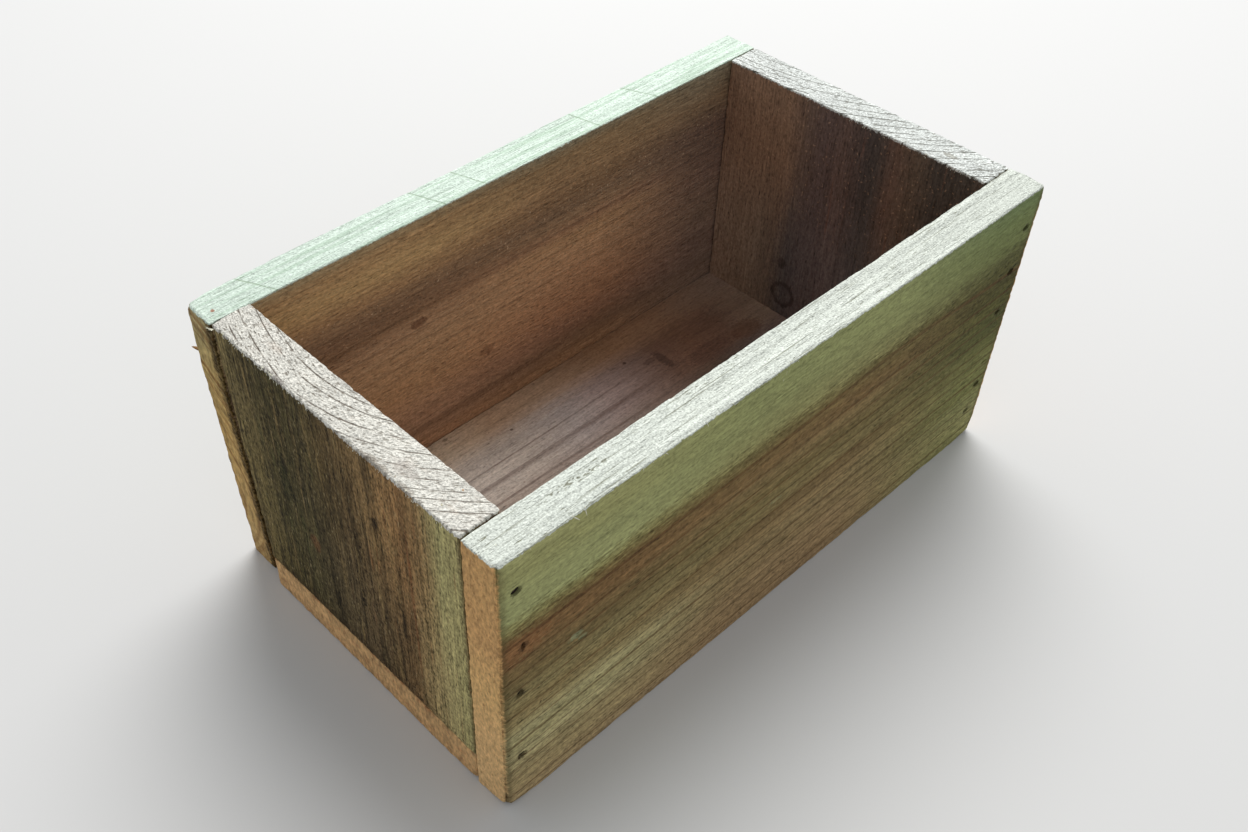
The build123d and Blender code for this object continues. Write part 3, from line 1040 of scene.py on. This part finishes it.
def nail_material():
    """Dull, rusted steel."""
    paint = Paint("rusted_nail_steel")
    patch = paint.noise((1.1, 1.1, 1.1), 3.0, 50.0)
    grit = paint.noise((0.3, 0.3, 0.3), 2.0, 51.0)
    colour = paint.mix(paint.rise(-0.5, 0.7, patch), srgb(22, 18, 17), srgb(46, 29, 21))
    paint.plug(paint.shader.inputs["Metallic"], paint.rise(0.4, -0.6, patch) * 0.6)
    return paint.finish(colour, 0.03 * grit + 0.04 * patch, 0.6 + 0.15 * grit)


# ---- the boards

# Each joint's nails, with the length and width of the open hole over each head, from the top down.
# Where the wood has closed over a nail the hole is narrow.
CLEAR_HOLE = (2.3, 1.7)
CLOSED_HOLE = 0.7  # where the narrow radius is less than this, there is no stain round the nail
HOLES = {
    "front_left_nails": [(2.4, 1.8), (0.9, 2.0), (1.6, 2.0), (1.2, 0.3), (2.3, 1.8)],
    "front_right_nails": [(2.6, 1.2), (2.2, 1.6), (1.8, 1.0), (2.2, 0.5), (2.4, 1.4), (1.6, 1.0)],
    "back_left_nails": [CLEAR_HOLE, (2.2, 1.2), CLEAR_HOLE, (2.3, 0.9), CLEAR_HOLE],
    "back_right_nails": [(2.2, 1.3), CLEAR_HOLE, (2.3, 0.8), CLEAR_HOLE, (2.2, 1.5)],
    "base_left_nails": [CLEAR_HOLE] * 3,
    "base_right_nails": [CLEAR_HOLE] * 3,
}
NAILS = {node: sorted(nail_heads(node), key=lambda head: -head[0][Z]) for node in HOLES}


def build_board(board, material, nodes=(), shape=None):
    """Makes one board's detailed piece, with the open punched hole above each nail's head."""
    points, quads = sawn_block(board, shape or unchanged)
    piece = mesh_object(board.node + "_wood", points, quads)
    grain = [0.0, 0.0, 0.0]
    grain[board.grain] = 1.0
    cutters, open_nails = [], []
    for node in nodes:
        for head, size in zip(NAILS[node], HOLES[node]):
            place, axis, way = head
            outward = [0.0, 0.0, 0.0]
            outward[axis] = -way
            name = f"cutter{len(cutters)}"
            cutters.append(oval_cutter(name, place, outward, grain, *size, PAST_HEAD, len(cutters)))
            if min(size) > CLOSED_HOLE:
                open_nails.append(head)
    if cutters:
        cut(piece, cutters)
    finish_board(board, piece, open_nails)
    piece.data.materials.clear()
    piece.data.materials.append(material(board))
    return piece


END_GAP = 0.7  # millimetres between the end boards' edges and the long boards, where light shows dark
BASE_GAP = 0.4

FRONT = Board("front_board", X, Z, (127, -33), 5.3, 1)
BACK = Board("back_board", X, Z, (42, 125), 4.4, 2, [((-23, 75, 56), 4.0), ((-56, 75, 63), 2.5)])
LEFT = Board("left_end_board", Z, Y, (28, -46), 5.4, 3, short=END_GAP)
RIGHT = Board("right_end_board", Z, Y, (75, 275), 5.0, 4, [((142, 22.4, 32), 8.0)], END_GAP)
BASE = Board("base_board", X, Y, (-40, -44.3), 6.0, 5, short=BASE_GAP)


def unchanged(points):
    return points, 0.0


def worn_front(points):
    """The front board's outer left arris is worn round, most of all below its middle."""
    height = points[:, Z]
    fuzzy = noise(points, (30, 30, 4), 71, 3)
    low_down = rise(112, 60, height)
    sizes = [1.4 + 0.8 * low_down + 0.5 * fuzzy, 1.6 + 2.6 * low_down + 0.5 * fuzzy]
    sizes = [np.maximum(size, 0.3) for size in sizes]
    worn = wear_arris(points, [X, Y], (FRONT.low[X], FRONT.low[Y]), (1, 1), sizes)
    left, right, outer, top = FRONT.low[X], FRONT.high[X], FRONT.low[Y], FRONT.high[Z]
    return worn, wear_corners(
        points, ((left, outer, top), 7, 1.8), ((left, outer, 0), 9, 3.2),
        ((right, outer, 0), 9, 2.5), ((right, outer, top), 5, 1.4))


def skewed_back(points):
    """The back board's left end is out of square, and its outer left arris is worn round."""
    skewed_height = 115
    shift = SKEW * np.clip((skewed_height - points[:, Z]) / skewed_height, 0, 1)
    near_end = np.clip((0 - points[:, X]) / BOX_END, 0, 1)
    fuzzy = noise(points, (30, 30, 4), 72, 3)
    sizes = [2.6 + 0.6 * fuzzy, 3.0 + 0.6 * fuzzy]
    worn = wear_arris(points, [X, Y], (BACK.low[X], BACK.high[Y]), (1, -1), sizes)
    worn[:, X] += shift * near_end
    left, right, outer, top = BACK.low[X], BACK.high[X], BACK.high[Y], BACK.high[Z]
    return worn, wear_corners(points, ((left, outer, top), 7, 2.4), ((right, outer, 0), 8, 2.0))


def tapered_left(points):
    """The left end board's outer back edge is torn away, more so towards its foot."""
    depth = points[:, X] - LEFT.low[X]
    missing = 1.2 + 5.8 * (LEFT.high[Z] - points[:, Z]) / 132 + 0.9 * noise(points, (6, 6, 6), 73, 3)
    missing = missing * np.clip(1 - depth / 8, 0, 1) * np.clip((points[:, Y] - 40) / 35, 0, 1)
    shaped = points.copy()
    shaped[:, Y] -= missing
    ragged = 0.9 * rise(0.0, 0.9, noise(points, (4, 3.2, 4), 74)) * rise(147, 150, points[:, Z])
    return shaped, ragged


def worn_base(points):
    """The base board's left end is rounded, and its back corner is cut away."""
    near_end = np.clip((-150.5 - points[:, X]) / 10, 0, 1)
    missing = 9 * near_end * np.clip((points[:, Y] - 30) / 45, 0, 1)
    shaped = points.copy()
    shaped[:, Y] -= missing
    return shaped, wear_corners(points, ((BASE.low[X], BASE.low[Y], 0), 7, 2.0))


build_board(FRONT, front_material, ["front_left_nails", "front_right_nails"], worn_front)
build_board(BACK, back_material, ["back_left_nails", "back_right_nails"], skewed_back)
build_board(LEFT, left_end_material, shape=tapered_left)
build_board(RIGHT, right_end_material)
build_board(BASE, base_material, ["base_left_nails", "base_right_nails"], worn_base)

steel = nail_material()
for node in HOLES:
    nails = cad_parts[node]
    nails.data.materials.clear()
    nails.data.materials.append(steel)


# ---- torn fibres and the loose chip

chance = np.random.default_rng(11)


def some(count, low, high):
    """Random numbers, the same every time the script runs."""
    return chance.uniform(low, high, count)


def one(low, high):
    return some(1, low, high)[0]


def front_fibres():
    """Whiskers that hang over the outer top arris of the front board."""
    outer, top = FRONT.low[Y] + 0.3, FRONT.high[Z]
    outward = (0, -1, 0)
    whiskers = [  # place along X, drop from the top, lean, way out, length, width and lift
        (-126.2, 0.3, 0.9, -0.2, 3.6, 0.7, 0.6), (-120.4, 0.3, -0.1, -0.2, 2.8, 0.6, 0.7),
        (-82.0, 0.3, 0.9, -0.1, 2.4, 0.6, 0.4), (-60.0, 0.3, 0.2, -0.1, 2.0, 0.5, 0.4),
        (-14.0, 0.2, -0.5, 0.0, 7.6, 0.7, 0.5), (-13.0, 0.2, -0.8, 0.0, 5.0, 0.45, 0.5)]
    strips = []
    for x, drop, lean, out, *size in whiskers:
        strips.append(((x, outer, top - drop), (lean, out, -1), outward, *size))
    places = [*some(18, 38, 62), *some(26, -156, 156)]
    for x in places:
        lean, length, width = one(-0.9, 0.9), one(0.8, 1.9), one(0.3, 0.5)
        strips.append(((x, outer, top - 0.3), (lean, -0.1, -1), outward, length, width, 0.3))
    return strips


def left_fibres():
    """Torn teeth that hang over the outer face of the left end board, and the tuft at its back."""
    outer, top = LEFT.low[X] + 0.4, LEFT.high[Z]
    strips = []
    for y in some(120, LEFT.low[Y] + 2, LEFT.high[Y] - 4):
        lean, length, width = one(-0.7, 0.7), one(0.8, 2.6), one(0.5, 1.1)
        root = (outer, y, top - one(0.3, 0.9))
        strips.append((root, (-0.15, lean, -1), (-1, 0, 0), length, width, 0.25))
    for lean in (-0.8, -0.3, 0.2, 0.6):
        strips.append(((-159.9, 74.2, 147.6), (-0.7, lean, 0.35), (0, 0, 1), 2.6, 0.8, 0.5))
    return strips


def right_fibres():
    """A small fringe along the inner top arris of the right end board."""
    inner, top = RIGHT.low[X] + 0.3, RIGHT.high[Z] - 0.4
    strips = []
    for y in some(46, -64, 30):
        lean, length = one(-0.6, 0.6), one(0.7, 2.0)
        strips.append(((inner, y, top), (-0.1, lean, -1), (-1, 0, 0), length, 0.5, 0.3))
    return strips


def upright_fuzz(count, low, high, corner, way, shortest, longest, longer=0.0):
    """Short fuzz up an arris, between two heights. corner is its place on X and Y, and way out of it."""
    strips = []
    for z in some(count, low, high):
        lean, length = one(-0.8, 0.8), one(shortest, longest)
        strips.append(((*corner, z), (*way, lean), (-1, 0, 0), length + longer, 0.4, 0.2))
    return strips


def corner_fibres():
    """Short fuzz down the front board's worn left arris, and beside the gap next to it."""
    arris = FRONT.low[X] + 0.9, FRONT.low[Y] + 1.9
    gap = LEFT.low[X] + 0.7, LEFT.low[Y] + 0.6
    strips = upright_fuzz(110, 4, 146, arris, (-0.5, -0.75), 0.7, 1.6, 0.5)
    return strips + upright_fuzz(40, 60, 90, gap, (-0.6, -0.3), 0.8, 1.8)


pale_fibre = fibre_material("pale_torn_fibre", (222, 220, 202))
brown_fibre = fibre_material("brown_torn_fibre", (138, 104, 68))
fibres("front_board_fibres", pale_fibre, front_fibres())
fibres("left_end_board_fibres", pale_fibre, left_fibres())
fibres("right_end_board_fibres", pale_fibre, right_fibres())
fibres("front_board_corner_fibres", brown_fibre, corner_fibres())
chip_root = (BACK.low[X] + 2.6, BACK.high[Y] - 1.0, 125.0)
chip = [
    (chip_root, (-0.45, 1, -0.15), (0, 0, 1), 5.6, 3.0, 0.6),
    (chip_root, (-0.75, 1, 0.10), (0, 0, 1), 4.2, 1.8, 0.3),
]
fibres("back_board_chip", brown_fibre, chip)


# ---- floor, light and camera


def plain_material(name, grey):
    material = bpy.data.materials.new(name)
    material.use_nodes = True
    shader = material.node_tree.nodes["Principled BSDF"]
    shader.inputs["Base Color"].default_value = (grey, grey, grey, 1)
    shader.inputs["Roughness"].default_value = 1.0
    shader.inputs["Specular IOR Level"].default_value = 0.0
    return material


def floor():
    bpy.ops.mesh.primitive_plane_add(size=30, location=(0, 0, cad_box[0].z - 0.0002))
    plane = bpy.context.object
    plane.name = "floor"
    plane.data.materials.append(plain_material("pale_floor", 0.62))


def seen_from(heading, height, distance):
    """A point at a distance from the box: heading is turned from +Y towards +X, in degrees."""
    turn, lift = math.radians(heading), math.radians(height)
    level = distance * math.cos(lift)
    return Vector((level * math.sin(turn), level * math.cos(turn), distance * math.sin(lift)))


def light():
    """One large soft light from behind the box's right end, and an even sky."""
    lamp = bpy.data.lights.new("key_light", "AREA")
    lamp.shape = "DISK"
    lamp.size = 1.6
    lamp.energy = 50
    lamp.color = (1.0, 0.99, 0.97)
    key = bpy.data.objects.new("key_light", lamp)
    key.location = seen_from(50, 58, 2.2)
    target = Vector((0, 0, 0.07))
    key.rotation_euler = (target - key.location).to_track_quat("-Z", "Y").to_euler()
    bpy.context.scene.collection.objects.link(key)
    world = bpy.data.worlds.new("soft_sky")
    bpy.context.scene.world = world
    world.use_nodes = True
    sky = world.node_tree.nodes["Background"]
    sky.inputs["Color"].default_value = (0.97, 0.99, 1.0, 1.0)
    sky.inputs["Strength"].default_value = 0.56


def camera():
    """A hand-held phone's view, from above the box's left front corner."""
    lens = bpy.data.cameras.new("camera")
    lens.sensor_width = 36.0
    lens.lens = 37.293
    lens.shift_x = 0.0525
    lens.shift_y = 0.0266
    lens.clip_start = 0.01
    view = bpy.data.objects.new("camera", lens)
    view.location = (-0.32673, -0.29806, 0.47005)
    view.rotation_euler = [math.radians(turn) for turn in (44.842, -0.182, -43.157)]
    bpy.context.scene.collection.objects.link(view)
    bpy.context.scene.camera = view


floor()
light()
camera()
bpy.context.scene.view_settings.view_transform = "Standard"

bpy.context.view_layer.update()
